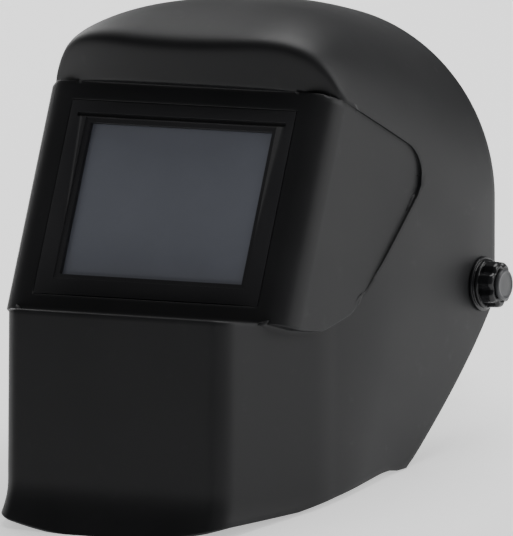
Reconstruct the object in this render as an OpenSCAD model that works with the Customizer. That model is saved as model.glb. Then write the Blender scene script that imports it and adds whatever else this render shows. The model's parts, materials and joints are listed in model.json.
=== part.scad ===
// Welding helmet with a fixed front lens and a ratchet headgear.
// Shell frame: the pivot axis is the X axis, +Y points to the back of the head and
// the rear edge of the shell is upright. The whole helmet is then tipped by rest_tilt,
// so that it stands on its chin and its two rear corners with +Z up.

/* [Shell] */
// Half width of the shell at the pivots
shell_half_w = 117; // [110:1:125]
// Height of the crown above the pivot axis
crown_h = 171; // [160:1:185]
// Distance from the pivot axis back to the rear edge
rear_reach = 16; // [14:1:24]
// Height at which the straight side turns into the crown arch
spring_h = 50; // [40:1:60]
// Moulded wall of the shell
shell_wall = 2.6; // [2.2:0.1:3.2]
// Distance from the pivot axis forward to the chin panel
chin_reach = 234; // [225:1:245]
// Half width of the flat chin panel
chin_half_w = 66.6; // [60:1:72]
// Depth of the chin below the pivot axis
chin_drop = 134; // [125:1:142]
// Forward flare of the lower lip
lip_flare = 12; // [4:1:14]
// Distance from the pivot axis forward to the middle of the brow
brow_reach = 165; // [160:1:172]

/* [Window] */
// Lean of the window plate, its top nearer the head
window_lean = 22.7; // [18:0.1:26]
// Distance from the pivot axis to the window plate, square to the plate
window_reach = 183.3; // [180:0.1:186]
// Height of the middle of the window, measured along the plate
window_mid = -13.9; // [-16:0.1:-10]
// Flat half width of the window plate
plate_half_w = 83; // [82:1:88]
// Width of the lens holder as it shows in the plate
holder_w = 152.6; // [150:0.1:158]
// Height of the lens holder as it shows in the plate
holder_h = 120; // [119:0.1:126]
// Width of the opening that the welder looks through
view_w = 124; // [110:1:126]
// Height of the opening that the welder looks through
view_h = 94; // [80:1:102]
// Depth of the lens holder
holder_d = 17; // [16:0.5:22]

/* [Lenses] */
// Width of a standard lens
lens_w = 133.35; // [130:0.05:134]
// Height of a standard lens
lens_h = 114.3; // [108:0.1:114.4]
// Thickness of the filter glass
filter_t = 3.2; // [2.5:0.1:4]
// Thickness of each clear cover lens
cover_t = 1.2; // [1:0.1:1.6]
// Thickness of the rubber gasket
gasket_t = 1.4; // [1:0.1:2]
// Gap between a lens and the pocket that it drops into
lens_gap = 0.3; // [0.2:0.05:0.5]

/* [Tension knobs] */
// Diameter of the shoulder that turns in the shell
pivot_d = 10; // [8:0.5:12]
// Radial gap of each running fit
run_gap = 0.05; // [0.03:0.01:0.08]
// Diameter of the thread that the tension knob runs on
thread_d = 7; // [6:0.5:8]
// Radius of the pressure washer under each tension knob
washer_r = 16.2; // [14:0.1:18]
// Thickness of the pressure washer
washer_t = 2.4; // [2:0.1:3]
// Radius over the lobes of the tension knob
tension_r = 14.6; // [13:0.1:16]
// Length of the tension knob
tension_l = 11; // [9:0.5:16]
// Number of lobes on a tension knob
tension_lobes = 7; // [5:1:9]
// Radius of the round cap on the tension knob
cap_r = 9.2; // [8:0.1:10]
// Height of the cap above the tension knob
cap_h = 2.4; // [2:0.1:5]

/* [Headgear] */
// Half width of the inside of the headband
band_half_w = 82; // [76:1:84]
// Half length of the inside of the headband
band_half_l = 102; // [96:1:106]
// Height of the headband
band_h = 28; // [24:1:32]
// Thickness of the moulded straps
band_t = 2; // [1.6:0.1:2.4]
// Height of the crown straps above the pivot axis
strap_rise = 112; // [104:1:118]
// Width of a crown strap
strap_w = 18; // [14:1:22]
// Thickness of the sweatband
sweat_t = 5; // [4:0.5:6]
// Travel of the rear band when the ratchet is wound in
ratchet_travel = 14; // [10:1:18]
// Radius of the ratchet knob
ratchet_r = 22; // [18:1:25]
// Number of lobes on the ratchet knob
ratchet_lobes = 12; // [8:1:16]
// Number of teeth on the ratchet pinion
pinion_teeth = 10; // [8:1:12]
// Gap between straps that slide on each other
slide_gap = 0.3; // [0.25:0.05:0.5]

/* [Hidden] */

$fn = 48;

// Crown and sides. All in the shell frame.
crown_y = -85;
crown_fall_front = 0.0028;
crown_fall_rear = 0.00108;
side_power = 1.75;
side_pull_top = 0.00272;
side_pull_low = 0.0020;
side_end = 150;
side_taper = 0.00068;
taper_y = 170;
taper_len = 90;
arch_square = 2.8;
arch_len = 176;
// Brow face
brow_top = 153;
brow_lean = 0.188;
brow_wrap = 22;
brow_half_w = 95;
// Chin: the flat panel turns by chin_turn, then a corner arc runs to chin_side
chin_turn = 20;
chin_side = 71;
chin_corner = 17;
lip_h = 29;
// The front changes from the chin plan to the brow plan between these two heights
blend_low = 72;
blend_high = 118;

function crown(y) = crown_h - (y < crown_y ? crown_fall_front : crown_fall_rear) * pow(y - crown_y, 2);
function smooth(t) = let(c = max(0, min(1, t))) c * c * (3 - 2 * c);
function side(y, z) =
    let(pull = side_pull_low + (side_pull_top - side_pull_low) * smooth(z / 100))
    shell_half_w - pull * pow(max(0, min(side_end, -y)), side_power)
        - side_taper * pow(min(0, z), 2) * smooth((y + taper_y) / taper_len);
function arch_power(y) = 2 + arch_square * pow(max(0, min(1, (rear_reach - y) / arch_len)), 2);

function flare(z) = lip_flare * pow(max(0, min(1.6, (lip_h - chin_drop - z) / lip_h)), 2);
function chin_front(z) = -chin_reach - 0.015 * min(100, max(0, -z)) - flare(z);
function brow_front(z) = -brow_reach - brow_lean * (z - brow_top);

// Depth of the chin and of the brow at x: flat panel, corner arc, then a straight side
function chin_wall(x, z, inset) =
    let(half = chin_half_w * (1 + flare(z) / 230), y0 = chin_front(z), r = chin_corner - inset,
        cx = half - chin_corner * sin(chin_turn), cy = y0 + chin_corner * cos(chin_turn),
        s = (x - cx) / r)
    x < cx + r * sin(chin_turn) ? y0 + inset
        : s < sin(chin_side) ? cy - r * sqrt(1 - s * s)
        : cy - r * cos(chin_side) + (x - cx - r * sin(chin_side)) * tan(chin_side);
function brow_wall(x, z, inset) = brow_front(z) + inset + brow_wrap * pow(x / brow_half_w, 2.2);
function front_wall(x, z, inset) =
    let(t = smooth((z - blend_low) / (blend_high - blend_low)))
    chin_wall(x, z, inset) * (1 - t) + brow_wall(x, z, inset) * t;

// Half width of the crown arch at y and z
function arch_half(y, z, inset) =
    let(n = arch_power(y), h = crown(y) - inset - spring_h, k = max(0, z - spring_h) / h)
    h <= 0 || k >= 1 ? 0 : (side(y, z) - inset) * pow(1 - pow(k, n), 1 / n);
function within(x, y, z, inset) =
    y >= front_wall(abs(x), z, inset) && y <= rear_reach + 30 && abs(x) <= arch_half(y, z, inset);
// Distance from the crown line out to the skin in the direction [c, s], found by halving
function reach(c, s, z, inset, low = 0, high = 260, step = 0) =
    step == 18 ? low
        : let(mid = (low + high) / 2)
          within(mid * c, crown_y + mid * s, z, inset) ? reach(c, s, z, inset, mid, high, step + 1)
                                                       : reach(c, s, z, inset, low, mid, step + 1);

ring_right = [0, 6, 12, 18, 22, 24.1, 25.5, 27, 29.2, 33, 39, 47, 55, 61.5, 68, 78, 90, 104, 120, 135, 149, 165];
ring_angles = concat(ring_right, [for (k = [len(ring_right) - 1 : -1 : 1]) 360 - ring_right[k]]);
levels = concat([for (k = [0 : 9]) -chin_drop - 20 + 49 / 9 * k],
    [-85, -60, -30, 0, 30, 50, blend_low, 84, 95, 106, blend_high],
    [for (z = [crown_h - 45 : 4.5 : crown_h - 13.5]) z],
    [crown_h - 10, crown_h - 7, crown_h - 4.5, crown_h - 3]);

// Skin a stack of equal rings and close both ends
module skin(rings) {
    n = len(rings[0]);
    m = len(rings);
    polyhedron(
        points = [for (ring = rings) for (p = ring) p],
        faces = concat(
            [[for (k = [0 : n - 1]) k]],
            [for (j = [0 : m - 2]) for (k = [0 : n - 1])
                [j * n + k, (j + 1) * n + k, (j + 1) * n + (k + 1) % n, j * n + (k + 1) % n]],
            [[for (k = [n - 1 : -1 : 0]) (m - 1) * n + k]]),
        convexity = 8);
}

// The smooth outer form, or with an inset the form of its inside
module envelope(inset) {
    skin([for (z = levels) [for (a = ring_angles)
        let(r = reach(sin(a), -cos(a), min(z, crown_h - 3 - inset), inset))
        [r * sin(a), crown_y - r * cos(a), min(z, crown_h - 2 - inset + 0.002 * z)]]]);
}

// Outline in side view of the cut that bares the window plate and the cheeks
cut_tip_r = 20;
module rounded_cut(grow) {
    offset(delta = grow) offset(r = cut_tip_r, $fn = 64) offset(delta = -cut_tip_r)
        polygon([[-420, 174], [-145, 124], [-52, 77.5], [-106, 22.5], [-136, -6], [-165, -14.3],
                 [-185, -12], [-202, -7], [-chin_reach, -3], [-420, 17]]);
}
module side_prism(half) {
    rotate([90, 0, 90]) linear_extrude(height = 2 * half, center = true) children();
}

// Plate and cheeks, drawn square to the plate
plate_corner = 16;
cheek_back = 110;
module plate_plan(inset) {
    offset(delta = -inset) {
        hull() for (s = [-1, 1]) {
            translate([s * plate_half_w, -window_reach + plate_corner]) circle(r = plate_corner);
            translate([s * (cheek_back - 1), -94]) circle(r = 1, $fn = 16);
        }
        polygon([[-cheek_back, -94], [cheek_back, -94], [shell_half_w + 1, 0], [shell_half_w + 1, 90],
                 [-shell_half_w - 1, 90], [-shell_half_w - 1, 0]]);
    }
}
module in_window_frame() { rotate([-window_lean, 0, 0]) children(); }
module plate_form(inset) {
    in_window_frame() translate([0, 0, -200]) linear_extrude(height = 400) plate_plan(inset);
}

module outer_form() {
    difference() {
        envelope(0);
        side_prism(200) rounded_cut(0);
    }
    intersection() {
        plate_form(0);
        side_prism(200) rounded_cut(0.02);
    }
}
module inner_form() {
    w = shell_wall;
    difference() {
        envelope(w);
        difference() {
            side_prism(200) rounded_cut(w);
            plate_form(w);
        }
    }
}

// Kept part of the shell in side view: rear edge, rear corner and rim
rim_corner = [-72, -105.6];
rear_low = -10;
corner_r = 4;
module trim_outline() {
    d = chin_drop;
    offset(r = corner_r) offset(delta = -corner_r)
        polygon([[-400, 260], [-400, -d - 62], [-262, -d - 9], [-248, -d], [-238, 4 - d], [-214, 7.5 - d],
                 [-163, 17.5 - d], [-92, -103.6], rim_corner, [rear_reach, rear_low], [rear_reach, 260]]);
}
// The rim rises to both sides of the chin
rim_rise = 0.0016;
module rim_curve() {
    rotate([90, 0, 0]) linear_extrude(height = 900, center = true)
        polygon(concat([[-200, -400]], [for (x = [-200 : 10 : 200]) [x, -chin_drop + rim_rise * x * x]],
                       [[200, -400]]));
}

// Rest position: the chin rim and the rear corners stand on the floor
chin_rim = [chin_front(-chin_drop), -chin_drop];
rear_rim = [-74.5, -105.3];
rest_tilt = atan2(rear_rim[1] - chin_rim[1], rear_rim[0] - chin_rim[0]);
function rest_y(p) = p[0] * cos(rest_tilt) + p[1] * sin(rest_tilt);
function rest_z(p) = p[1] * cos(rest_tilt) - p[0] * sin(rest_tilt);
foot_cut = 0.8;
floor_z = rest_z(chin_rim) + foot_cut;
lip_z = -chin_drop + foot_cut;
front_y = rest_y([chin_front(lip_z), lip_z]);

// Pivot stack, as distances from the middle of the helmet
bore_d = pivot_d + 2 * run_gap;
boss_in = 110;
boss_r = 15;
washer_out = shell_half_w + washer_t;
knob_in = washer_out + 0.3;
knob_out = knob_in + tension_l;
cap_out = knob_out + cap_h;
arm_out = 107;
arm_in = 104;
arm_disc_r = 15;
head_h = 3.4;
friction_out = boss_in - 0.3;
friction_r = 13;
thread_out = knob_out - 3;
knob_flange_t = 2;
scallop_r = 3.4;
edge_step = 0.8;

// Headgear places
band_mid = 6;
band_low = band_mid - band_h / 2;
band_out = band_half_w + band_t;
band_end = 55;
arm_start = 16.5;
rear_y = band_end + ratchet_travel / 2 + 0.5;
rear_in = band_out + slide_gap;
rear_turn = 65;
arm_h = 20;
rack_half = 18;
rack_y = 104.3;
rear_deep = (rack_y - rear_y) / sin(rear_turn);
rack_end = 22;
house_half_w = 33;
house_h = 44;
plate_t = 2.2;
base_in = rack_y - slide_gap - plate_t;
cover_in = rack_y - slide_gap;
cover_l = 11;
cover_out = cover_in + cover_l;
knob_gap = 0.4;
ratchet_in = cover_out + knob_gap;
ratchet_l = 15;
ratchet_out = ratchet_in + ratchet_l;
axle_d = 5;
shaft_d = 8;
pinion_r = 4.8;
rack_clear = 0.5;
screw_d = 3;
screw_x = 26;
screw_z = 17;

mid_y = (front_y + ratchet_out) / 2;

module placed() { translate([0, -mid_y, -floor_z]) children(); }
module in_shell() { placed() rotate([-rest_tilt, 0, 0]) children(); }
module in_window() { in_shell() rotate([-window_lean, 0, 0]) translate([0, 0, window_mid]) children(); }
// side = 1 is the wearer's left; local +Z then runs outward along the pivot axis
module on_pivot(side) { placed() mirror([side < 0 ? 1 : 0, 0, 0]) rotate([0, 90, 0]) children(); }
module rounded_rect(w, h, r) {
    square([w - 2 * r, h], center = true);
    square([w, h - 2 * r], center = true);
    for (x = [-1, 1], y = [-1, 1]) translate([x * (w / 2 - r), y * (h / 2 - r)]) circle(r = r);
}
// A slab square to the window: x and z size, then from and to distances along Y
module slab(w, h, from, to) {
    translate([0, to, 0]) rotate([90, 0, 0]) linear_extrude(height = to - from)
        square([w, h], center = true);
}

// --- Shell ---
plate_gap = 0.2;
module shell() {
    color([0.13, 0.13, 0.14]) difference() {
        union() {
            in_shell() resize([0, 0, 0]) difference() {
                outer_form();
                inner_form();
                difference() {
                    cube(900, center = true);
                    side_prism(250) trim_outline();
                }
                rim_curve();
                rotate([rest_tilt, 0, 0]) translate([0, 0, floor_z - 50]) cube([900, 900, 100], center = true);
                rotate([-window_lean, 0, 0]) translate([0, -window_reach, window_mid])
                    cube([holder_w + 2 * plate_gap, 30, holder_h + 2 * plate_gap], center = true);
            }
            for (side = [-1, 1]) on_pivot(side)
                translate([0, 0, boss_in]) cylinder(r = boss_r, h = shell_half_w - boss_in - 1);
        }
        for (side = [-1, 1]) on_pivot(side) translate([0, 0, 90]) cylinder(d = bore_d, h = 60);
    }
}

// --- Lens stack, from the front of the plate back ---
bezel_t = 5;
flange_w = 4;
flange_t = 1.8;
flange_short = 28;
pocket_in = -window_reach + bezel_t;
cover_back = pocket_in + cover_t;
gasket_back = cover_back + gasket_t;
filter_back = gasket_back + filter_t;
inner_back = filter_back + cover_t;
retainer_t = 2.6;
retainer_back = inner_back + retainer_t;
holder_back = -window_reach + holder_d;
groove_w = 2.4;
groove_drop = 8.6;
step_w = 3;

module lens_holder() {
    front = -window_reach;
    flange_at = front + shell_wall + 0.1;
    color([0.15, 0.15, 0.16]) in_window() difference() {
        union() {
            slab(holder_w, holder_h, front, holder_back);
            slab(holder_w + 2 * flange_w, holder_h - flange_short, flange_at, flange_at + flange_t);
            slab(holder_w - flange_short, holder_h + 2 * flange_w, flange_at, flange_at + flange_t);
        }
        slab(view_w, view_h, front - 1, holder_back + 1);
        slab(view_w + 2 * step_w, view_h + 2 * step_w, front - 1, front + step_w / 2);
        slab(lens_w + 2 * lens_gap, lens_h + 2 * lens_gap, pocket_in, holder_back + 1);
        translate([0, 0, holder_h / 2 - groove_drop]) slab(view_w + 18, groove_w, front - 1, front + 2);
    }
}
module lens(w, h, from, thick) { in_window() slab(w, h, from, from + thick); }
module cover_lens() { color([0.6, 0.63, 0.67]) lens(lens_w, lens_h, pocket_in, cover_t); }
module filter_lens() { color([0.12, 0.2, 0.16]) lens(lens_w, lens_h, gasket_back, filter_t); }
module inner_lens() { color([0.75, 0.78, 0.8]) lens(lens_w, lens_h, filter_back, cover_t); }
module lens_gasket() {
    color([0.05, 0.05, 0.05]) in_window() difference() {
        slab(lens_w, lens_h, cover_back, gasket_back);
        slab(view_w, view_h, cover_back - 1, gasket_back + 1);
    }
}
module lens_retainer() {
    color([0.2, 0.2, 0.21]) in_window() difference() {
        slab(lens_w, lens_h, inner_back, retainer_back);
        slab(view_w - 4, view_h, inner_back - 1, retainer_back + 1);
    }
}
// Two leaf clips screwed to the back of the holder press the retainer on the lenses
clip_w = 12;
clip_t = 0.8;
clip_reach = 9;
module retainer_clips() {
    wall = (holder_w - lens_w) / 2;
    color([0.7, 0.7, 0.72]) in_window() for (side = [-1, 1], z = [-30, 30]) {
        translate([side * (holder_w - wall) / 2, 0, z]) slab(wall, clip_w, holder_back, holder_back + clip_t);
        translate([side * (lens_w / 2 - clip_reach / 2), 0, z])
            slab(clip_reach, clip_w, retainer_back, retainer_back + clip_t);
        translate([side * (lens_w / 2 - clip_t / 2 - 0.2), 0, z])
            slab(clip_t, clip_w, retainer_back, holder_back + clip_t);
        translate([side * (holder_w - wall) / 2, holder_back + clip_t, z]) rotate([-90, 0, 0])
            cylinder(d1 = 6, d2 = 4.6, h = 1.6);
    }
}

// --- Pivots and tension knobs ---
module washer(side) {
    color([0.16, 0.16, 0.17]) on_pivot(side) difference() {
        translate([0, 0, shell_half_w]) union() {
            cylinder(r = washer_r, h = washer_t - 0.6);
            cylinder(r = washer_r - 1.6, h = washer_t);
        }
        translate([0, 0, shell_half_w - 1]) cylinder(d = bore_d, h = washer_t + 2);
    }
}
module washer_left() { washer(1); }
module washer_right() { washer(-1); }

// A round body with scallops cut into its rim
module lobed(r, lobes, lobe_r, h) {
    linear_extrude(height = h) difference() {
        circle(r = r);
        for (k = [0 : lobes - 1]) rotate(360 * (k + 0.5) / lobes)
            translate([r + lobe_r * 0.45, 0]) circle(r = lobe_r);
    }
}
module tension_knob(side) {
    color([0.08, 0.08, 0.09]) on_pivot(side) difference() {
        translate([0, 0, knob_in]) union() {
            cylinder(r = tension_r, h = knob_flange_t);
            lobed(tension_r, tension_lobes, scallop_r, tension_l);
        }
        translate([0, 0, knob_in - 1]) cylinder(d = thread_d + 2 * run_gap, h = thread_out - knob_in + 1.4);
    }
}
module tension_knob_left() { tension_knob(1); }
module tension_knob_right() { tension_knob(-1); }

module knob_cap(side) {
    color([0.3, 0.3, 0.31]) on_pivot(side) translate([0, 0, knob_out]) union() {
        cylinder(r = cap_r, h = cap_h - edge_step);
        cylinder(r = cap_r - edge_step, h = cap_h);
    }
}
module knob_cap_left() { knob_cap(1); }
module knob_cap_right() { knob_cap(-1); }

module pivot_stud(side) {
    color([0.6, 0.6, 0.62]) on_pivot(side) union() {
        translate([0, 0, arm_in - head_h]) cylinder(d = pivot_d + 6, h = head_h);
        translate([0, 0, arm_in]) cylinder(d = pivot_d, h = washer_out - arm_in);
        translate([0, 0, washer_out]) cylinder(d = thread_d, h = thread_out - washer_out);
    }
}
module pivot_stud_left() { pivot_stud(1); }
module pivot_stud_right() { pivot_stud(-1); }

module friction_washer(side) {
    color([0.45, 0.3, 0.2]) on_pivot(side) difference() {
        translate([0, 0, arm_out]) cylinder(r = friction_r, h = friction_out - arm_out);
        translate([0, 0, arm_out - 1]) cylinder(d = bore_d, h = friction_out - arm_out + 2);
    }
}
module friction_washer_left() { friction_washer(1); }
module friction_washer_right() { friction_washer(-1); }

// --- Headgear ---
foot_len = 30;
foot_y = -22;
foot_t = 2.5;
web_t = 3;
rivet_d = 4;
rivet_y = [-18, 4];
module side_arm(side) {
    foot_in = band_out;
    color([0.14, 0.14, 0.15]) placed() mirror([side < 0 ? 1 : 0, 0, 0]) difference() {
        union() {
            translate([foot_in, foot_y, band_low]) cube([foot_t, foot_len, band_h]);
            translate([arm_in, 0, 0]) rotate([0, 90, 0]) cylinder(r = arm_disc_r, h = arm_out - arm_in);
            for (up = [-1, 1]) hull() {
                translate([foot_in + 0.5, -14, band_mid + up * (band_h / 2 - web_t / 2 - 0.5) - web_t / 2])
                    cube([1, 18, web_t]);
                translate([arm_in + 1, -7, up * 11.5 - web_t / 2]) cube([1, 14, web_t]);
            }
        }
        translate([90, 0, 0]) rotate([0, 90, 0]) cylinder(d = bore_d, h = 40);
        for (y = rivet_y) translate([foot_in - 1, y, band_mid]) rotate([0, 90, 0])
            cylinder(d = rivet_d, h = foot_t + 2);
    }
}
module side_arm_left() { side_arm(1); }
module side_arm_right() { side_arm(-1); }

// Half ring of a strap seen from above, open towards +Y, round in front of bow_y
bow_y = -24;
function bow(hw, hl) = [for (a = [180 : 5 : 360]) [hw * cos(a), bow_y + (hl + bow_y) * sin(a)]];
module band_plan(out, inn, y_end) {
    polygon(concat([[-out[0], y_end]], bow(out[0], out[1]), [[out[0], y_end], [inn[0], y_end]],
        [for (p = bow(inn[0], inn[1])) [-p[0], p[1]]], [[-inn[0], y_end]]));
}
module front_band() {
    color([0.12, 0.12, 0.13]) placed() difference() {
        translate([0, 0, band_low]) linear_extrude(height = band_h)
            band_plan([band_out, band_half_l + band_t], [band_half_w, band_half_l], band_end);
        for (side = [-1, 1], y = rivet_y) translate([side * (band_half_w - 2), y, band_mid])
            rotate([0, side * 90, 0]) cylinder(d = rivet_d, h = 8);
    }
}
module arm_rivets() {
    color([0.7, 0.7, 0.72]) placed() for (side = [-1, 1], y = rivet_y)
        translate([side * (band_half_w - 1), y, band_mid]) rotate([0, side * 90, 0]) union() {
            cylinder(d = rivet_d + 3, h = 1);
            cylinder(d = rivet_d - 0.2, h = band_t + foot_t + 1);
            translate([0, 0, band_t + foot_t + 1]) cylinder(d = rivet_d + 3, h = 1);
        }
}
sweat_end = -26;
sweat_h = 34;
module sweatband() {
    gap = 0.3;
    out = [band_half_w - gap, band_half_l - gap];
    inn = out - [sweat_t, sweat_t];
    color([0.2, 0.2, 0.21]) placed() translate([0, 0, band_mid - sweat_h / 2])
        linear_extrude(height = sweat_h) intersection() {
            band_plan(out, inn, 20);
            translate([-100, -150]) square([200, 150 + sweat_end]);
        }
}

// Crown strap: an arch in a plane that leans by lean about the line through foot
strap_in = 1.7;
strap_gap = 0.3;
strap_foot = 6;
module crown_strap(foot, lean) {
    out = band_half_w - strap_gap;
    rise = strap_rise - band_mid;
    color([0.13, 0.13, 0.14]) placed() translate([0, foot, band_mid]) rotate([90 + lean, 0, 0])
        linear_extrude(height = strap_w, center = true)
            polygon(concat([[out, -strap_foot]], [for (a = [0 : 5 : 180]) [out * cos(a), rise * sin(a)]],
                [[-out, -strap_foot], [-out + strap_in, -strap_foot]],
                [for (a = [180 : -5 : 0]) [(out - strap_in) * cos(a), (rise - strap_in) * sin(a)]],
                [[out - strap_in, -strap_foot]]));
}
front_foot = 20;
front_lean = 18;
rear_foot = 44;
rear_lean = -12;
module crown_strap_front() { crown_strap(front_foot, front_lean); }
module crown_strap_rear() { crown_strap(rear_foot, rear_lean); }
// Push studs that hold the foot of each crown strap on the band
stud_d = 7;
stud_t = 1.4;
stud_gap = 0.15;
module crown_studs() {
    color([0.1, 0.1, 0.11]) placed() for (side = [-1, 1], y = [front_foot - 1, rear_foot + 1])
        translate([side * (band_half_w - strap_gap - strap_in - stud_gap), y, band_mid])
            rotate([0, -side * 90, 0]) cylinder(d = stud_d, h = stud_t);
}

// Rear arm: straight along the band, round the back, then a rack across the housing
function rear_path(off) = concat([[rear_in + off, arm_start]],
    [for (a = [0 : 5 : rear_turn - 5]) [(rear_in + off) * cos(a), rear_y + (rear_deep + off) * sin(a)]],
    [[rear_in * cos(rear_turn), rack_y + off], [-rack_half, rack_y + off]]);
function backwards(list) = [for (k = [len(list) - 1 : -1 : 0]) list[k]];
rack_rise = pinion_r + rack_clear;
tooth_p = 3;
tooth_h = 1;
module rear_arm(side) {
    color([0.14, 0.14, 0.15]) placed() mirror([side < 0 ? 1 : 0, 0, 0]) difference() {
        translate([0, 0, band_mid - arm_h / 2]) linear_extrude(height = arm_h)
            polygon(concat(rear_path(band_t), backwards(rear_path(0))));
        // the strip narrows to its rack inside the housing
        translate([-rack_half - 1, rack_y - 1, side > 0 ? band_mid - arm_h / 2 - 1 : band_mid - rack_rise - tooth_h])
            cube([rack_half + 1 + house_half_w - 8, band_t + 2, arm_h / 2 + 1 + rack_rise + tooth_h]);
    }
    color([0.14, 0.14, 0.15]) placed() mirror([side < 0 ? 1 : 0, 0, 0])
        for (x = [-rack_half + 1 : tooth_p : rack_end])
            translate([x, rack_y, side > 0 ? band_mid + rack_rise : band_mid - rack_rise - tooth_h])
                cube([tooth_p / 2, band_t, tooth_h]);
}
module rear_arm_left() { rear_arm(1); }
module rear_arm_right() { rear_arm(-1); }

module across(from, to) {
    placed() translate([0, to, band_mid]) rotate([90, 0, 0]) linear_extrude(height = to - from) children();
}
module on_axle(from, d, h) { placed() translate([0, from, band_mid]) rotate([-90, 0, 0]) cylinder(d = d, h = h); }
module at_screws() { for (x = [-1, 1], z = [-1, 1]) translate([x * screw_x, z * screw_z]) children(); }

module ratchet_base() {
    color([0.12, 0.12, 0.13]) difference() {
        across(base_in, cover_in) rounded_rect(2 * house_half_w, house_h, 8);
        across(base_in - 1, cover_in + 1) at_screws() circle(d = screw_d + 0.2);
        on_axle(base_in - 1, axle_d + 2 * run_gap, plate_t + 2);
    }
}
module ratchet_cover() {
    color([0.12, 0.12, 0.13]) difference() {
        across(cover_in, cover_out) rounded_rect(2 * house_half_w, house_h, 8);
        across(cover_in - 1, cover_out - plate_t) difference() {
            rounded_rect(2 * house_half_w - 2 * plate_t, house_h - 2 * plate_t, 6);
            at_screws() circle(d = 7);
        }
        across(cover_in - 1, cover_in + band_t + 2 * slide_gap + 0.6) square([80, arm_h + 1], center = true);
        across(cover_in - 1, cover_in + 7) at_screws() circle(d = screw_d - 0.4);
        on_axle(cover_out - 5, shaft_d + 2 * run_gap, 9);
    }
}
module ratchet_screws() {
    color([0.65, 0.65, 0.67]) {
        across(base_in - 1.6, base_in) at_screws() circle(d = 5.6);
        across(base_in, cover_in + 6) at_screws() circle(d = screw_d - 0.4);
    }
}
module ratchet_pinion() {
    from = cover_in + 0.3;
    color([0.75, 0.75, 0.72]) {
        across(from, cover_out - plate_t - 0.3) difference() {
            circle(r = pinion_r);
            for (k = [0 : pinion_teeth - 1]) rotate(360 * k / pinion_teeth)
                translate([pinion_r, 0]) circle(r = 0.75);
        }
        on_axle(base_in + 0.3, axle_d, from - base_in);
    }
}
module ratchet_knob() {
    color([0.1, 0.1, 0.11]) {
        on_axle(cover_out - plate_t - 0.3, shaft_d, plate_t + 0.3 + knob_gap + 1);
        placed() translate([0, ratchet_in, band_mid]) rotate([-90, 0, 0]) union() {
            lobed(ratchet_r, ratchet_lobes, scallop_r, ratchet_l - 1.5);
            cylinder(r = ratchet_r - scallop_r, h = ratchet_l);
        }
    }
}
module rear_pad() {
    front = base_in;
    color([0.2, 0.2, 0.21]) placed() translate([0, 0, band_mid - 16]) linear_extrude(height = 32)
        polygon([[-40, front - 14], [-24, front - 4], [-10, front], [10, front], [24, front - 4], [40, front - 14],
                 [38, front - 20], [22, front - 10.5], [0, front - 6.5], [-22, front - 10.5], [-38, front - 20]]);
}

shell();
lens_holder();
cover_lens();
lens_gasket();
filter_lens();
inner_lens();
lens_retainer();
retainer_clips();
washer_left();
washer_right();
tension_knob_left();
tension_knob_right();
knob_cap_left();
knob_cap_right();
pivot_stud_left();
pivot_stud_right();
friction_washer_left();
friction_washer_right();
side_arm_left();
side_arm_right();
front_band();
sweatband();
crown_strap_front();
crown_strap_rear();
crown_studs();
arm_rivets();
rear_arm_left();
rear_arm_right();
ratchet_base();
ratchet_cover();
ratchet_screws();
ratchet_pinion();
ratchet_knob();
rear_pad();
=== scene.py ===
"""Looks of the welding helmet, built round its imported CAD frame."""
import json
import math

import bmesh
import bpy
import numpy as np
from mathutils import Matrix, Vector
from mathutils.kdtree import KDTree


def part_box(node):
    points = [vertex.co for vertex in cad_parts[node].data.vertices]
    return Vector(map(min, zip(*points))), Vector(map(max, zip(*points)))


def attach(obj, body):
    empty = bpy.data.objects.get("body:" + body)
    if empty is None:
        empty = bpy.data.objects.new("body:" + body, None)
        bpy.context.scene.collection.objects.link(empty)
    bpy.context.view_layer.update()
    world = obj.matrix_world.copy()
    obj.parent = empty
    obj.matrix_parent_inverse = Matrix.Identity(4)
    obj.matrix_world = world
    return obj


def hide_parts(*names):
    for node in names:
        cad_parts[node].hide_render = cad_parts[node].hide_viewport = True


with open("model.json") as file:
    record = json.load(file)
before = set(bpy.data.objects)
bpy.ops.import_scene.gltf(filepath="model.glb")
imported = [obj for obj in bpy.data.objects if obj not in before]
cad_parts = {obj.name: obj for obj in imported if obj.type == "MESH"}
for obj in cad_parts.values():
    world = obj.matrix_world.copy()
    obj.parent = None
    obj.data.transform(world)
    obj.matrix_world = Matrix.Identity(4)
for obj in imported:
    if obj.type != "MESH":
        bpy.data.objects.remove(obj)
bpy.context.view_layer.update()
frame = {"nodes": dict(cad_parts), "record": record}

# ---------------------------------------------------------------- sizes, in millimetres
# The shell is worked out in its own frame: pivots on the X axis, +Y to the back, rear edge upright.
SHELL_HALF_W, CROWN_H, CROWN_Y = 117.0, 171.0, -85.0
REAR_Y, SPRING_H, WALL = 16.0, 50.0, 2.6
CHIN_REACH, CHIN_HALF_W, CHIN_DROP = 234.0, 66.6, 134.0
CHIN_CORNER, CHIN_TURN, CHIN_SIDE = 17.0, math.radians(20), math.radians(71)
LIP_H, LIP_FLARE = 29.0, 12.0
BROW_REACH, BROW_TOP, BROW_LEAN, BROW_WRAP, BROW_HALF_W = 165.0, 153.0, 0.188, 22.0, 95.0
BLEND_LOW, BLEND_HIGH = 72.0, 118.0
WINDOW_LEAN, WINDOW_REACH, WINDOW_MID = math.radians(22.7), 183.3, -13.9
PLATE_HALF_W, PLATE_CORNER, CHEEK_BACK, CHEEK_Y = 83.0, 16.0, 110.0, -94.0
HOLDER_W, HOLDER_H, HOLDER_GAP = 152.6, 120.0, 0.2
REST_TILT = math.radians(9.41935)
# Greatest edge radius; the radii along the steps are kept as shares of it
BROW_RADIUS = 8.0
# How far from the brow's edge the skin is eased, and how many times
EASE_REACH, EASE_ROUNDS = 13.0, 14
# Soft meeting of the shell's front and sides, and the radius of its rim
SKIN_SOFT, RIM_RADIUS = 9.0, 0.7
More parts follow.
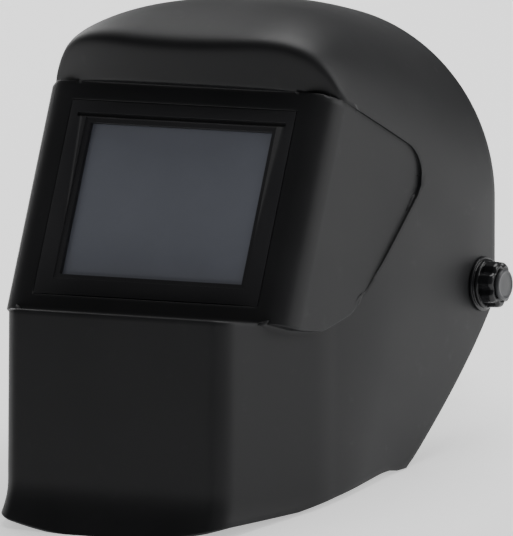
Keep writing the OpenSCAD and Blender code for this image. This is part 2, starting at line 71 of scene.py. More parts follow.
# Angles at the crown line and rays from it end before these
FAR_RAY, FAR_ANGLE = 260.0, 3.0
HALVINGS = 44
MERGE, SAME_PLACE = 4e-5, 2e-5
MM = 0.001
# The pivot axis in the row frame, where the knobs sit
PIVOT = (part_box("washer_left")[0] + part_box("washer_left")[1]) / 2
PIVOT.x = 0


def to_row(points):
    """Points of the shell frame, in millimetres, as points of the row frame, in metres."""
    p = np.asarray(points, float).reshape(-1, 3)
    c, s = math.cos(REST_TILT), math.sin(REST_TILT)
    y = p[:, 1] * c + p[:, 2] * s
    z = p[:, 2] * c - p[:, 1] * s
    return np.column_stack([p[:, 0] * MM, y * MM + PIVOT.y, z * MM + PIVOT.z])


def to_window(y, z):
    """Shell frame to window frame, in which the window plate is upright."""
    c, s = math.cos(WINDOW_LEAN), math.sin(WINDOW_LEAN)
    return y * c - z * s, y * s + z * c


def from_window(y, z):
    """Window frame back to shell frame."""
    c, s = math.cos(WINDOW_LEAN), math.sin(WINDOW_LEAN)
    return y * c + z * s, z * c - y * s


# ---------------------------------------------------------------- the shell's form
def ease(t):
    t = np.clip(t, 0, 1)
    return t * t * (3 - 2 * t)


def crown(y):
    return CROWN_H - np.where(y < CROWN_Y, 0.0028, 0.00108) * (y - CROWN_Y) ** 2


def side(y, z):
    pull = 0.0020 + 0.00072 * ease(z / 100)
    tuck = 0.00068 * np.minimum(0, z) ** 2 * ease((y + 170) / 90)
    return SHELL_HALF_W - pull * np.clip(-y, 0, 150) ** 1.75 - tuck


def arch_power(y):
    return 2 + 2.8 * np.clip((REAR_Y - y) / 176, 0, 1) ** 2


def arch_half(y, z):
    """Half width of the crown arch."""
    n, h = arch_power(y), np.maximum(crown(y) - SPRING_H, 1e-6)
    k = np.clip(np.maximum(0, z - SPRING_H) / h, 0, 1)
    return side(y, z) * (1 - k ** n) ** (1 / n)


def flare(z):
    return LIP_FLARE * np.clip((LIP_H - CHIN_DROP - z) / LIP_H, 0, 1.6) ** 2


def chin_wall(x, z):
    """Depth of the chin: a flat panel, a corner arc, then a straight side."""
    y0 = -CHIN_REACH - 0.015 * np.clip(-z, 0, 100) - flare(z)
    half = CHIN_HALF_W * (1 + flare(z) / 230)
    cx, cy = half - CHIN_CORNER * math.sin(CHIN_TURN), y0 + CHIN_CORNER * math.cos(CHIN_TURN)
    s = np.clip((x - cx) / CHIN_CORNER, -1, 1)
    arc = cy - CHIN_CORNER * np.sqrt(1 - s * s)
    straight = (cy - CHIN_CORNER * math.cos(CHIN_SIDE)
                + (x - cx - CHIN_CORNER * math.sin(CHIN_SIDE)) * math.tan(CHIN_SIDE))
    return np.where(x < half, y0, np.where(s < math.sin(CHIN_SIDE), arc, straight))


def front_wall(x, z):
    brow = -BROW_REACH - BROW_LEAN * (z - BROW_TOP) + BROW_WRAP * (x / BROW_HALF_W) ** 2.2
    t = ease((z - BLEND_LOW) / (BLEND_HIGH - BLEND_LOW))
    return chin_wall(x, z) * (1 - t) + brow * t


def halved(keeps, low, high, like):
    """The largest value for which keeps(value) holds, found by halving, for an array shaped like another."""
    low, high = np.full(np.shape(like), float(low)), np.full(np.shape(like), float(high))
    for _ in range(HALVINGS):
        mid = (low + high) / 2
        ok = keeps(mid)
        low, high = np.where(ok, mid, low), np.where(ok, high, mid)
    return low


def skin(a, z):
    """Point of the skin at angle a from straight ahead, about the crown line, and height z."""
    a, z = np.broadcast_arrays(np.asarray(a, float), np.asarray(z, float))
    sa, ca = np.sin(a), np.cos(a)
    tunnel = halved(lambda r: np.abs(r * sa) <= arch_half(CROWN_Y - r * ca, z), 0, FAR_RAY, a)
    wall = halved(lambda r: CROWN_Y - r * ca >= front_wall(np.abs(r * sa), z), 0, FAR_RAY, a)
    h = np.clip(SKIN_SOFT - np.abs(tunnel - wall), 0, None) / SKIN_SOFT
    r = np.minimum(tunnel, wall) - h * h * SKIN_SOFT / 4
    return np.stack([r * sa, CROWN_Y - r * ca, z], -1)


def angle_of(x, y):
    return np.arctan2(x, -(y - CROWN_Y))


def filleted(points, radius, step=1.2):
    """A polyline whose corners are rounded, as dense points."""
    pts = [np.array(p, float) for p in points]
    out = [pts[0]]
    for p, q, r in zip(pts, pts[1:], pts[2:]):
        u, v = (p - q) / np.linalg.norm(p - q), (r - q) / np.linalg.norm(r - q)
        turn = math.pi - math.acos(np.clip(u @ v, -1, 1))
        cut = min(radius * math.tan(turn / 2), 0.48 * np.linalg.norm(p - q), 0.48 * np.linalg.norm(r - q))
        n = max(2, int(turn * radius / step))
        for t in np.linspace(0, 1, n + 1):
            a, b = q + u * cut * (1 - t), q + v * cut * t
            w = math.cos(turn / 2)
            k = [(1 - t) ** 2, 2 * t * (1 - t) * w, t * t]
            out.append((k[0] * (q + u * cut) + k[1] * q + k[2] * (q + v * cut)) / sum(k))
    return np.array(out + [pts[-1]])


def walked(line):
    """Distance along a polyline at each of its points."""
    return np.concatenate([[0], np.cumsum(np.linalg.norm(np.diff(line, axis=0), axis=1))])


def spaced(line, fractions):
    """Points of a polyline at fractions of its length."""
    line = np.asarray(line, float)
    d = walked(line)
    at = np.asarray(fractions) * d[-1]
    return np.column_stack([np.interp(at, d, line[:, k]) for k in range(line.shape[1])])


def coons(bottom, top, left, right, rows):
    """Grid spanned by four edges: two run left to right, two run bottom to top in steps of rows."""
    u, v = np.linspace(0, 1, len(bottom))[None, :, None], rows[:, None, None]
    ruled = (1 - v) * bottom[None] + v * top[None] + (1 - u) * left[:, None] + u * right[:, None]
    corners = ((1 - u) * (1 - v) * bottom[0] + u * (1 - v) * bottom[-1]
               + (1 - u) * v * top[0] + u * v * top[-1])
    return ruled - corners


# Side view of the cut that bares the window plate and the cheeks, from the brow round the tip to the chin
CUT = filleted([(-420, 174), (-145, 124), (-52, 77.5), (-106, 22.5), (-136, -6), (-165, -14.3),
                (-185, -12), (-202, -7), (-234, -3), (-420, 17)], 20)
TIP = int(np.argmax(to_window(CUT[:, 0], CUT[:, 1])[0]))
UPPER, LOWER = CUT[:TIP + 1], CUT[TIP:][::-1]


def on_cut(branch, y_window):
    """Side-view point of a branch of the cut, at a distance along the window frame's Y."""
    yw, zw = to_window(branch[:, 0], branch[:, 1])
    return from_window(np.asarray(y_window, float), np.interp(y_window, yw, zw))


def on_branch(branch, y):
    return np.interp(y, branch[:, 0], branch[:, 1])


FRONT_COLS, CORNER_COLS, SIDE_COLS, SPLIT_COLS = 40, 8, 40, 18
BROW_ROWS, LOWER_ROWS, LEDGE_ROWS = 12, 34, 3
# Rows of plate and cheek below, beside and above the window
BAND_ROWS = (5, 26, 5)
# Height at the rear edge of the line that parts dome from lower skin
SPLIT_Z = 62.0
# Side view of the shell's rim, from the front lip to the rear corner: Y, Z
TRIM = np.array([(-262, -143), (-248, -134), (-238, -130), (-214, -126.5), (-163, -116.5), (-92, -103.6),
                 (-72, -105.6)])
LIP_RISE, RIM_CORNER, REAR_LOW, RIM_FILLET, FILLET_STEP = 0.0016, (-60, -92.6), -10, 4, 0.5
# Side-view depths where the rim turns from the front to the side, and where the rear grid begins
RIM_TURN_Y, FORK_Y = -205, -98
# Where the column that starts at the cheek's tip comes to the crown
TIP_CROWN_Y = -18.0


def plan_of_plate():
    """Plan of the window plate and a cheek in the window frame: columns from the middle to the tip."""
    arc = [(PLATE_HALF_W + PLATE_CORNER * math.sin(t), -WINDOW_REACH + PLATE_CORNER * (1 - math.cos(t)))
           for t in np.linspace(0, math.radians(81.4), 40)]
    line = np.array([(0, -WINDOW_REACH)] + arc + [(CHEEK_BACK, CHEEK_Y), (SHELL_HALF_W + 1, 0)])
    tip_y = float(to_window(CUT[TIP, 0], CUT[TIP, 1])[0])
    return line, tip_y


def arch_point(y, f):
    """Half width and height of the crown arch at depth y and phase f, from 0 at its foot to its top."""
    n, h = arch_power(y), crown(y) - SPRING_H
    z = SPRING_H + h * np.sin(f) ** (2 / n)
    return side(y, z) * np.abs(np.cos(f)) ** (2 / n), z


def phase(y, z):
    n, h = arch_power(y), crown(y) - SPRING_H
    return np.arcsin(np.clip((z - SPRING_H) / h, 0, 1) ** (n / 2))


def brow_corner():
    """Where the cut crosses the edge between brow and dome, as a shell-frame point."""
    xs = np.linspace(60, 110, 2001)
    zs = np.full(xs.shape, 125.0)
    for _ in range(30):
        zs = on_branch(UPPER, front_wall(xs, zs))
    x = xs[np.argmin(np.abs(arch_half(front_wall(xs, zs), zs) - xs))]
    z = float(np.interp(x, xs, zs))
    return x, float(front_wall(x, z)), z


def brow_edges(a, corner):
    """The brow's lower edge along the cut, and its upper edge against the dome, from the middle out."""
    bx = a * corner[0]
    bz = np.full(bx.shape, 126.0)
    for _ in range(40):
        bz = on_branch(UPPER, front_wall(bx, bz))
    brow_low = np.column_stack([bx, front_wall(bx, bz), bz])
    f_end = float(phase(corner[1], corner[2]))
    f = math.pi / 2 + (f_end - math.pi / 2) * np.linspace(0, 1, 400)

    def outside_brow(v):
        x, z = arch_point(v, f)
        return v <= front_wall(x, z)

    # move back along the arch's line until it comes out through the brow face
    y = halved(outside_brow, -200, -60, f)
    cx, cz = arch_point(y, f)
    crease = spaced(np.column_stack([cx, y, cz]), a)
    crease[0, 0], crease[-1] = 0, brow_low[-1]
    return brow_low, crease


def brow_grid(brow_low, crease):
    v = np.linspace(0, 1, BROW_ROWS + 1)[:, None]
    gx = brow_low[:, 0] * (1 - v) + crease[:, 0] * v
    gz = brow_low[:, 2] * (1 - v) + crease[:, 2] * v
    brow = np.stack([gx, front_wall(gx, gz), gz], -1)
    brow[0], brow[-1] = brow_low, crease
    return brow


def dome_grid(low, crease):
    """Dome over its lower edge, laid out in depth and phase."""
    low_yf = np.column_stack([low[:, 1], phase(low[:, 1], low[:, 2])])
    left = np.column_stack([crease[:, 1], phase(crease[:, 1], crease[:, 2])])[::-1]
    left[-1, 1] = math.pi / 2
    along = walked(low)
    k_tip = len(low) - 1 - SPLIT_COLS
    top_y = np.interp(along, [0, along[k_tip], along[-1]], [left[-1, 0], TIP_CROWN_Y, REAR_Y])
    top = np.column_stack([top_y, np.full(len(low), math.pi / 2)])
    rows = (left[:, 1] - left[0, 1]) / (left[-1, 1] - left[0, 1])
    rear_f = low_yf[-1, 1] + (math.pi / 2 - low_yf[-1, 1]) * rows
    right = np.column_stack([np.full(len(left), REAR_Y), rear_f])
    g = coons(low_yf, top, left, right, rows)
    gx, gz = arch_point(g[..., 0], g[..., 1])
    dome = np.stack([gx, g[..., 0], gz], -1)
    dome[0], dome[:, 0] = low, crease[::-1]
    dome[-1, :, 0] = 0
    return dome


def chin_edge(a, ly, lz, tip):
    """Upper edge of the lower skin along the cut, from the middle round to the tip."""
    n_front = len(a)
    a_front = np.linspace(0, 0.75, 900)
    z = np.full(a_front.shape, -5.0)
    for _ in range(40):
        z = 0.5 * z + 0.5 * on_branch(LOWER, skin(a_front, z)[:, 1])
    p = skin(a_front, z)
    stop = int(np.searchsorted(p[:, 1], ly[n_front - 1]))
    chin_top = spaced(p[:stop + 1], a)
    side_y, side_z = ly[n_front:], lz[n_front:]
    side_a = halved(lambda q: skin(q, side_z)[:, 1] <= side_y, 0, FAR_ANGLE, side_y)
    side_low = skin(side_a, side_z)
    side_low[-1] = tip
    return np.vstack([chin_top, side_low])


def rim_line():
    """The shell's rim from the front lip round to the rear edge, and where it turns and forks."""
    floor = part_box("shell")[0].z / MM - PIVOT.z / MM

    def floor_line(y):
        return (floor + y * math.sin(REST_TILT)) / math.cos(REST_TILT)

    ra = np.linspace(0, 2.2, 2200)
    z = np.full(ra.shape, -120.0)
    for _ in range(40):
        q = skin(ra, z)
        rise = np.maximum(-CHIN_DROP + LIP_RISE * q[:, 0] ** 2, np.interp(q[:, 1], TRIM[:, 0], TRIM[:, 1]))
        z = np.maximum(rise, floor_line(q[:, 1]))
    q = skin(ra, z)
    q = q[q[:, 1] < TRIM[-1, 0] - 2]
    back = filleted([tuple(q[-1, 1:]), tuple(TRIM[-1]), RIM_CORNER], RIM_FILLET, FILLET_STEP)[1:]
    slant = filleted([RIM_CORNER, (REAR_Y, REAR_LOW), (REAR_Y, 0)], RIM_FILLET, FILLET_STEP)
    low_line = np.vstack([back, slant[:-1]])
    low_line[:, 1] = np.maximum(low_line[:, 1], floor_line(low_line[:, 0]))
    sa = halved(lambda w: skin(w, low_line[:, 1])[:, 1] <= low_line[:, 0], 0, FAR_ANGLE, low_line[:, 0])
    rim = np.vstack([q, skin(sa, low_line[:, 1])])
    turn = int(np.argmin(np.abs(q[:, 1] - RIM_TURN_Y)))
    fork = int(np.argmin(np.abs(rim[:, 1] - FORK_Y) + (rim[:, 2] > -60) * 1e3))
    return rim, turn, fork


def lower_grid(a, skin_low, split):
    """Lower skin between the rim and its upper edge, laid out in angle and height."""
    rim, turn, fork = rim_line()
    upper_edge = np.vstack([skin_low, split[1:]])
    behind = walked(skin_low[len(a) - 1:])
    rim_cols = np.vstack([spaced(rim[:turn + 1], a), spaced(rim[turn:fork + 1], behind / behind[-1])[1:],
                          spaced(rim[fork:], np.linspace(0, 1, SPLIT_COLS + 1))[1:]])
    bottom, top = (np.column_stack([angle_of(line[:, 0], line[:, 1]), line[:, 2]])
                   for line in (rim_cols, upper_edge))
    v = np.linspace(0, 1, LOWER_ROWS + 1)
    left = np.column_stack([np.zeros(len(v)), bottom[0, 1] + (top[0, 1] - bottom[0, 1]) * v])
    rz = bottom[-1, 1] + (top[-1, 1] - bottom[-1, 1]) * v
    rear = np.full(len(v), REAR_Y)
    right = np.column_stack([angle_of(arch_half(rear, rz), rear), rz])
    g = coons(bottom, top, left, right, v)
    lower = skin(g[..., 0], g[..., 1])
    lower[-1] = upper_edge
    lower[0] = skin(bottom[:, 0], bottom[:, 1])
    lower[:, 0, 0] = 0
    return lower


def ledge(outer, inner, branch, n_front):
    """The step between skin and plate along one branch of the cut."""
    w = np.linspace(0, 1, LEDGE_ROWS + 1)[:, None, None]
    g = outer[None] * (1 - w) + inner[None] * w
    g[:, :n_front, 2] = on_branch(branch, g[:, :n_front, 1])
    g[0], g[-1] = outer, inner
    return g


def plate_grids(plan, n_front, plate_low, plate_up):
    """Plate and cheek in three bands, with the window left out of the middle one."""
    half_h = HOLDER_H / 2 + HOLDER_GAP
    zl, zu = (to_window(edge[:, 1], edge[:, 2])[1] for edge in (plate_low, plate_up))
    k = n_front - 1 - CORNER_COLS
    marks = []
    for w in (WINDOW_MID - half_h, WINDOW_MID + half_h):
        share = (w - zl[k]) / (zu[k] - zl[k])
        marks.append(np.where(np.arange(len(plan)) <= k, w, zl + (zu - zl) * share))
    bands = []
    for lo, hi, count in zip((zl, *marks), (*marks, zu), BAND_ROWS):
        v = np.linspace(0, 1, count + 1)[:, None]
        zw = lo * (1 - v) + hi * v
        py, pz = from_window(np.broadcast_to(plan[:, 1], zw.shape), zw)
        bands.append(np.stack([np.broadcast_to(plan[:, 0], zw.shape), py, pz], -1))
    bands[0][0], bands[2][-1] = plate_low, plate_up
    return bands[0], bands[1][:, k:], bands[2]


def shell_patches():
    """Grids of shell-frame points for the +X half of the outer skin, its step edges and the brow's edge."""
    line, tip_y = plan_of_plate()
    corner = brow_corner()
    corner_yw = float(to_window(corner[1], corner[2])[0])
    corner_w = float(np.interp(corner_yw, line[:, 1], line[:, 0]))
    hole = (HOLDER_W / 2 + HOLDER_GAP) / corner_w
    a = np.concatenate([np.linspace(0, hole, FRONT_COLS, endpoint=False),
                        np.linspace(hole, 1, CORNER_COLS + 1)])
    # columns of plate and cheek
    dense = spaced(line, np.linspace(0, 1, 4001))
    behind = dense[(dense[:, 1] > corner_yw) & (dense[:, 1] < tip_y)]
    behind = np.vstack([[corner_w, corner_yw], behind, [np.interp(tip_y, line[:, 1], line[:, 0]), tip_y]])
    t = np.linspace(0, 1, SIDE_COLS + 1)
    cheek = spaced(behind, np.sin(t * math.pi / 2) * 0.45 + t * 0.55)
    front = np.column_stack([a * corner_w, np.interp(a * corner_w, line[:, 0], line[:, 1])])
    plan, n_front = np.vstack([front, cheek[1:]]), len(a)
    uy, uz = on_cut(UPPER, plan[:, 1])
    ly, lz = on_cut(LOWER, plan[:, 1])
    plate_up = np.column_stack([plan[:, 0], uy, uz])
    plate_low = np.column_stack([plan[:, 0], ly, lz])

    brow_low, crease = brow_edges(a, corner)
    side_up = np.column_stack([arch_half(uy, uz), uy, uz])[n_front:]
    skin_up = np.vstack([brow_low, side_up])
    tip = skin_up[-1]
    # the line from the cheek's tip to the rear edge, between dome and lower skin
    t = np.linspace(0, 1, SPLIT_COLS + 1)
    split_y, split_z = tip[1] + (REAR_Y - tip[1]) * t, tip[2] + (SPLIT_Z - tip[2]) * t
    split = np.column_stack([arch_half(split_y, split_z), split_y, split_z])
    skin_low = chin_edge(a, ly, lz, tip)
    low, middle, high = plate_grids(plan, n_front, plate_low, plate_up)

    # radius along each step's edges: none where the ledge is narrow, and never a third of it
    wide, deep = (np.clip((np.linalg.norm(outer - inner, axis=1) - 1.2) * 0.3, 0, 2)
                  for outer, inner in ((skin_up, plate_up), (skin_low, plate_low)))
    steps = [(skin_up, np.minimum(wide, 1.0)), (plate_up, np.minimum(wide, 0.8)),
             (skin_low, np.minimum(deep, 1.4)), (plate_low, np.minimum(deep, 0.8))]
    brow_soft = BROW_RADIUS * np.clip((a[-1] - a) / 0.12, 0.12, 1)
    grids = [brow_grid(brow_low, crease), dome_grid(np.vstack([skin_up[n_front - 1:], split[1:]]), crease),
             lower_grid(a, skin_low, split), ledge(skin_up, plate_up, UPPER, n_front),
             ledge(skin_low, plate_low, LOWER, n_front), low, middle, high]
    return grids, steps, (crease, brow_soft)


def grid_faces(shape, start):
    k = np.arange(shape[0] * shape[1]).reshape(shape) + start
    return np.stack([k[:-1, :-1], k[:-1, 1:], k[1:, 1:], k[1:, :-1]], -1).reshape(-1, 4)


def new_piece(name, verts, faces, smooth=True):
    mesh = bpy.data.meshes.new(name)
    mesh.from_pydata([tuple(v) for v in verts], [], [tuple(int(i) for i in f) for f in faces])
    obj = bpy.data.objects.new(name, mesh)
    bpy.context.scene.collection.objects.link(obj)
    if smooth:
        mesh.shade_smooth()
    return obj


def build_shell():
    grids, steps, (brow_line, brow_soft) = shell_patches()
    verts, faces, count = [], [], 0
    for grid in grids:
        verts.append(grid.reshape(-1, 3))
        faces.append(grid_faces(grid.shape[:2], count))
        count += grid.shape[0] * grid.shape[1]
    half = np.vstack(verts)
    quads = np.vstack(faces)
    both = np.vstack([half, half * [-1, 1, 1]])
    obj = new_piece("helmet_shell", to_row(both), np.vstack([quads, quads[:, ::-1] + count]))
    bm = bmesh.new()
    bm.from_mesh(obj.data)
    bmesh.ops.remove_doubles(bm, verts=bm.verts, dist=MERGE)
    bmesh.ops.dissolve_degenerate(bm, edges=bm.edges, dist=MERGE * 0.75)
    bmesh.ops.recalc_face_normals(bm, faces=bm.faces)
    bm.to_mesh(obj.data)
    bm.free()
    return obj, [(to_row(line), radius) for line, radius in steps], (to_row(brow_line), brow_soft)


shell, step_edges, brow_edge = build_shell()


# ---------------------------------------------------------------- shader maths
class Val:
    """A shader value that can be added, multiplied and so on."""

    def __init__(self, shade, link):
        self.shade, self.link = shade, link

    def _do(self, op, other, flip=False):
        a, b = (other, self) if flip else (self, other)
        return self.shade.value("ShaderNodeMath", {"operation": op}, a, b)

    def __add__(self, o): return self._do("ADD", o)
    def __radd__(self, o): return self._do("ADD", o)
    def __sub__(self, o): return self._do("SUBTRACT", o)
    def __rsub__(self, o): return self._do("SUBTRACT", o, True)
    def __mul__(self, o): return self._do("MULTIPLY", o)
    def __rmul__(self, o): return self._do("MULTIPLY", o)


class Shade:
    """One node material and the few ways of adding nodes to it."""

    def __init__(self, name):
        self.mat = bpy.data.materials.new(name)
        self.mat.use_nodes = True
        self.nodes, self.links = self.mat.node_tree.nodes, self.mat.node_tree.links
        self.nodes.clear()
        self.out = self.nodes.new("ShaderNodeOutputMaterial")
        self.bsdf = self.nodes.new("ShaderNodeBsdfPrincipled")
        self.links.new(self.bsdf.outputs[0], self.out.inputs[0])
        coords = self.nodes.new("ShaderNodeTexCoord")
        self.object = Val(self, coords.outputs["Object"])

    def node(self, kind, settings, *values, **named):
        n = self.nodes.new(kind)
        for key, v in settings.items():
            setattr(n, key, v)
        for key, v in list(enumerate(values)) + list(named.items()):
            socket = n.inputs[key if isinstance(key, int) else key.replace("_", " ")]
            if isinstance(v, Val):
                self.links.new(v.link, socket)
            elif v is not None:
                socket.default_value = v
        return n

    def value(self, kind, settings, *values, out=0, **named):
        return Val(self, self.node(kind, settings, *values, **named).outputs[out])

    def noise(self, scale, detail=3.0, rough=0.5):
        return self.value("ShaderNodeTexNoise", {}, Vector=self.object, Scale=scale, Detail=detail,
                          Roughness=rough)

    def step(self, v, low, high):
        return self.value("ShaderNodeMapRange", {"interpolation_type": "SMOOTHSTEP"}, v, low, high, 0.0, 1.0)

    def blend(self, mask, a, b):
        n = self.node("ShaderNodeMix", {"data_type": "RGBA"})
        for key, v in ((0, mask), (6, a), (7, b)):
            if isinstance(v, Val):
                self.links.new(v.link, n.inputs[key])
            else:
                n.inputs[key].default_value = v if key == 0 else (*v, 1.0)
        return Val(self, n.outputs[2])

    def bump(self, height, distance, strength=1.0):
        return self.value("ShaderNodeBump", {}, Strength=strength, Distance=distance, Height=height)

    def set(self, **sockets):
        for key, v in sockets.items():
            socket = self.bsdf.inputs[key.replace("_", " ")]
            if isinstance(v, Val):
                self.links.new(v.link, socket)
            else:
                socket.default_value = (*v, 1.0) if isinstance(v, tuple) and len(v) == 3 else v
        return self.mat


GRAIN_SCALE = 2600.0


def moulded(name, dark, light, rough, grain=0.00002, scuffs=0.2):
    """Moulded plastic: fine spark-eroded grain, slow cloudy tone and a few rubbed spots."""
    s = Shade(name)
    cloud = s.step(s.noise(16.0, 3.0), 0.3, 0.7)
    rub = s.step(s.noise(75.0, 6.0, 0.62), 0.60, 0.74)
    fine = s.noise(GRAIN_SCALE, 2.0, 0.6)
    tone = s.blend(cloud, dark, light)
    worn = tuple(min(1, c * 1.6 + 0.006) for c in light)
    return s.set(Base_Color=s.blend(rub * scuffs, tone, worn),
                 Roughness=rough - 0.05 * rub + 0.07 * cloud + 0.05 * (fine - 0.5),
                 Normal=s.bump(fine, grain, 0.6), Specular_IOR_Level=0.3)


def metal(name, colour, rough):
    s = Shade(name)
    streak = s.noise(900.0, 3.0)
    cloud = s.step(s.noise(60.0), 0.35, 0.7)
    return s.set(Base_Color=s.blend(cloud, colour, tuple(c * 0.82 for c in colour)),
                 Metallic=1.0, Roughness=rough + 0.12 * (streak - 0.5), Normal=s.bump(streak, 0.00001, 0.4))


SHELL_PLASTIC = moulded("shell_plastic", (0.0070, 0.0072, 0.0080), (0.0095, 0.0097, 0.0108), 0.46)
HOLDER_PLASTIC = moulded("holder_plastic", (0.018, 0.018, 0.020), (0.024, 0.024, 0.026), 0.36, scuffs=0.12)
KNOB_PLASTIC = moulded("knob_plastic", (0.0095, 0.0097, 0.0108), (0.013, 0.0132, 0.0145), 0.20,
                       grain=0.000008, scuffs=0.15)
CAP_PLASTIC = moulded("cap_plastic", (0.050, 0.051, 0.054), (0.062, 0.063, 0.066), 0.34, scuffs=0.15)
BAND_PLASTIC = moulded("headgear_plastic", (0.016, 0.016, 0.018), (0.022, 0.022, 0.024), 0.38, scuffs=0.15)
NYLON = moulded("pinion_nylon", (0.66, 0.65, 0.60), (0.72, 0.71, 0.66), 0.42, scuffs=0.1)
STEEL = metal("plated_steel", (0.60, 0.60, 0.62), 0.28)


def rubber():
    s = Shade("seal_rubber")
    fine = s.noise(1800.0, 3.0)
    cloud = s.step(s.noise(90.0), 0.35, 0.7)
    return s.set(Base_Color=s.blend(cloud, (0.010, 0.010, 0.010), (0.018, 0.018, 0.018)),
                 Roughness=0.7 + 0.1 * (fine - 0.5), Normal=s.bump(fine, 0.00003, 0.6))


def fibre():
    s = Shade("friction_fibre")
    speck = s.noise(1400.0, 4.0, 0.7)
    return s.set(Base_Color=s.blend(s.step(speck, 0.35, 0.7), (0.16, 0.085, 0.045), (0.27, 0.17, 0.10)),
                 Roughness=0.8 + 0.1 * (speck - 0.5), Normal=s.bump(speck, 0.00005, 0.7))


def lens_glass(name, colour, rough):
    s = Shade(name)
    smear = s.step(s.noise(38.0, 4.0, 0.6), 0.40, 0.75)
    dust = s.step(s.noise(1500.0, 2.0), 0.66, 0.78)
    return s.set(Base_Color=s.blend(smear * 0.5, colour, tuple(c * 1.10 for c in colour)),
                 Roughness=rough + 0.04 * smear + 0.08 * dust, Coat_Weight=1.0, Coat_Roughness=0.03,
                 Normal=s.bump(s.noise(9.0, 1.0), 0.00002, 0.3))


COVER_GLASS = lens_glass("clear_lens", (0.150, 0.160, 0.192), 0.30)
FILTER_GLASS = lens_glass("filter_glass", (0.020, 0.045, 0.030), 0.10)


def paint(obj, mat):
    obj.data.materials.clear()
    obj.data.materials.append(mat)
    for p in obj.data.polygons:
        p.material_index = 0
    return obj


def baked(obj):
    """The piece with its modifiers worked into a plain mesh."""
    bpy.context.view_layer.update()
    made = bpy.data.meshes.new_from_object(obj.evaluated_get(bpy.context.evaluated_depsgraph_get()))
    obj.modifiers.clear()
    obj.data = made
    made.name = obj.name
    return obj


def rim_edges(mesh, first_rim_face):
    """Weights the edges where the wall's rim meets its two skins."""
    bm = bmesh.new()
    bm.from_mesh(mesh)
    bm.faces.ensure_lookup_table()
    weight = bm.edges.layers.float.get("bevel_weight_edge") or bm.edges.layers.float.new("bevel_weight_edge")
    for e in bm.edges:
        on_rim = [f.index >= first_rim_face for f in e.link_faces]
        e[weight] = 1.0 if any(on_rim) and not all(on_rim) else 0.0
    bm.to_mesh(mesh)
    bm.free()


def tree_of(points):
    tree = KDTree(len(points))
    for k, p in enumerate(points):
        tree.insert(p, k)
    tree.balance()
    return tree


def ease_brow(bm, line, radius):
    """Wears the edge between brow and dome round by easing its points towards their neighbours."""
    tree = tree_of(np.vstack([line, line * [-1, 1, 1]]))
    share = {}
    for v in bm.verts:
        _, k, far = tree.find(v.co)
        reach = EASE_REACH * MM * radius[k % len(line)] / BROW_RADIUS
        if far < reach and not v.is_boundary:
            share[v] = (1 - far / reach) ** 0.5 * 0.5
    for _ in range(EASE_ROUNDS):
        moved = {}
        for v in share:
            moved[v] = sum((e.other_vert(v).co for e in v.link_edges), Vector()) / len(v.link_edges)
        for v, to in moved.items():
            v.co = v.co.lerp(to, share[v])


def weigh_edges(bm, line, radius, weight):
    """Stores each radius along a line, and along its mirror image, on the edges that follow them."""
    for half in (line, line * [-1, 1, 1]):
        tree = tree_of(half)
        for e in bm.edges:
            found = [tree.find(v.co) for v in e.verts]
            if all(f[2] < SAME_PLACE for f in found) and abs(found[0][1] - found[1][1]) <= 1:
                e[weight] = (radius[found[0][1]] + radius[found[1][1]]) / 2 / BROW_RADIUS


def weighted_bevel(obj, width, segments):
    bevel = obj.modifiers.new("radii", "BEVEL")
    bevel.limit_method, bevel.width, bevel.segments = "WEIGHT", width * MM, segments
    bevel.use_clamp_overlap = False
    baked(obj)


def finish_shell():
    """Soft brow and small radii along the steps, then the wall, then the rim's own edges."""
    bm = bmesh.new()
    bm.from_mesh(shell.data)
    weight = bm.edges.layers.float.new("bevel_weight_edge")
    ease_brow(bm, *brow_edge)
    for line, radius in step_edges:
        weigh_edges(bm, line, radius, weight)
    bm.to_mesh(shell.data)
    bm.free()
    weighted_bevel(shell, BROW_RADIUS, 2)
    outer_faces = len(shell.data.polygons)
    wall = shell.modifiers.new("wall", "SOLIDIFY")
    wall.thickness, wall.offset, wall.use_even_offset = WALL * MM, -1, False
    baked(shell)
    rim_edges(shell.data, 2 * outer_faces)
    weighted_bevel(shell, RIM_RADIUS, 2)
    shell.data.shade_smooth()


finish_shell()
paint(shell, SHELL_PLASTIC)
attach(shell, "root")
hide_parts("shell")

# ---------------------------------------------------------------- carried CAD nodes
FINISH = {
    "shell": SHELL_PLASTIC, "lens_holder": HOLDER_PLASTIC, "lens_retainer": HOLDER_PLASTIC,
    "cover_lens": COVER_GLASS, "inner_lens": COVER_GLASS,
    "filter_lens": FILTER_GLASS, "lens_gasket": rubber(), "retainer_clips": STEEL, "washer": KNOB_PLASTIC,
    "tension_knob": KNOB_PLASTIC, "knob_cap": CAP_PLASTIC, "pivot_stud": STEEL, "friction_washer": fibre(),
    "side_arm": BAND_PLASTIC, "front_band": BAND_PLASTIC, "sweatband": rubber(), "crown_strap": BAND_PLASTIC,
    "crown_studs": KNOB_PLASTIC, "arm_rivets": STEEL, "rear_arm": BAND_PLASTIC, "ratchet_base": BAND_PLASTIC,
    "ratchet_cover": BAND_PLASTIC, "ratchet_screws": STEEL, "ratchet_pinion": NYLON,
    "ratchet_knob": KNOB_PLASTIC,
    "rear_pad": rubber(),
}
for node_name, obj in frame["nodes"].items():
    paint(obj, FINISH.get(node_name) or FINISH[node_name.rsplit("_", 1)[0]])

# ---------------------------------------------------------------- pieces made over the carried nodes
BODY = {node: body for body, nodes in frame["record"]["behaviour"]["bodies"].items() for node in nodes}


def stands_for(obj, node, mat):
    """Paints a piece and puts it in the place of a carried node, on the same body."""
    paint(obj, mat)
    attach(obj, BODY[node])
    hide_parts(node)
    return obj


# Distances under which points are the same: on a made piece, and on a carried node's copy
MADE_MERGE, COPY_MERGE = 1e-6, 2e-6
# Edges sharper than this are broken, and edges sharper than the other stay crisp in the shading
BREAK_ANGLE, COPY_CRISP, TURNED_CRISP = math.radians(32), math.radians(40), math.radians(48)


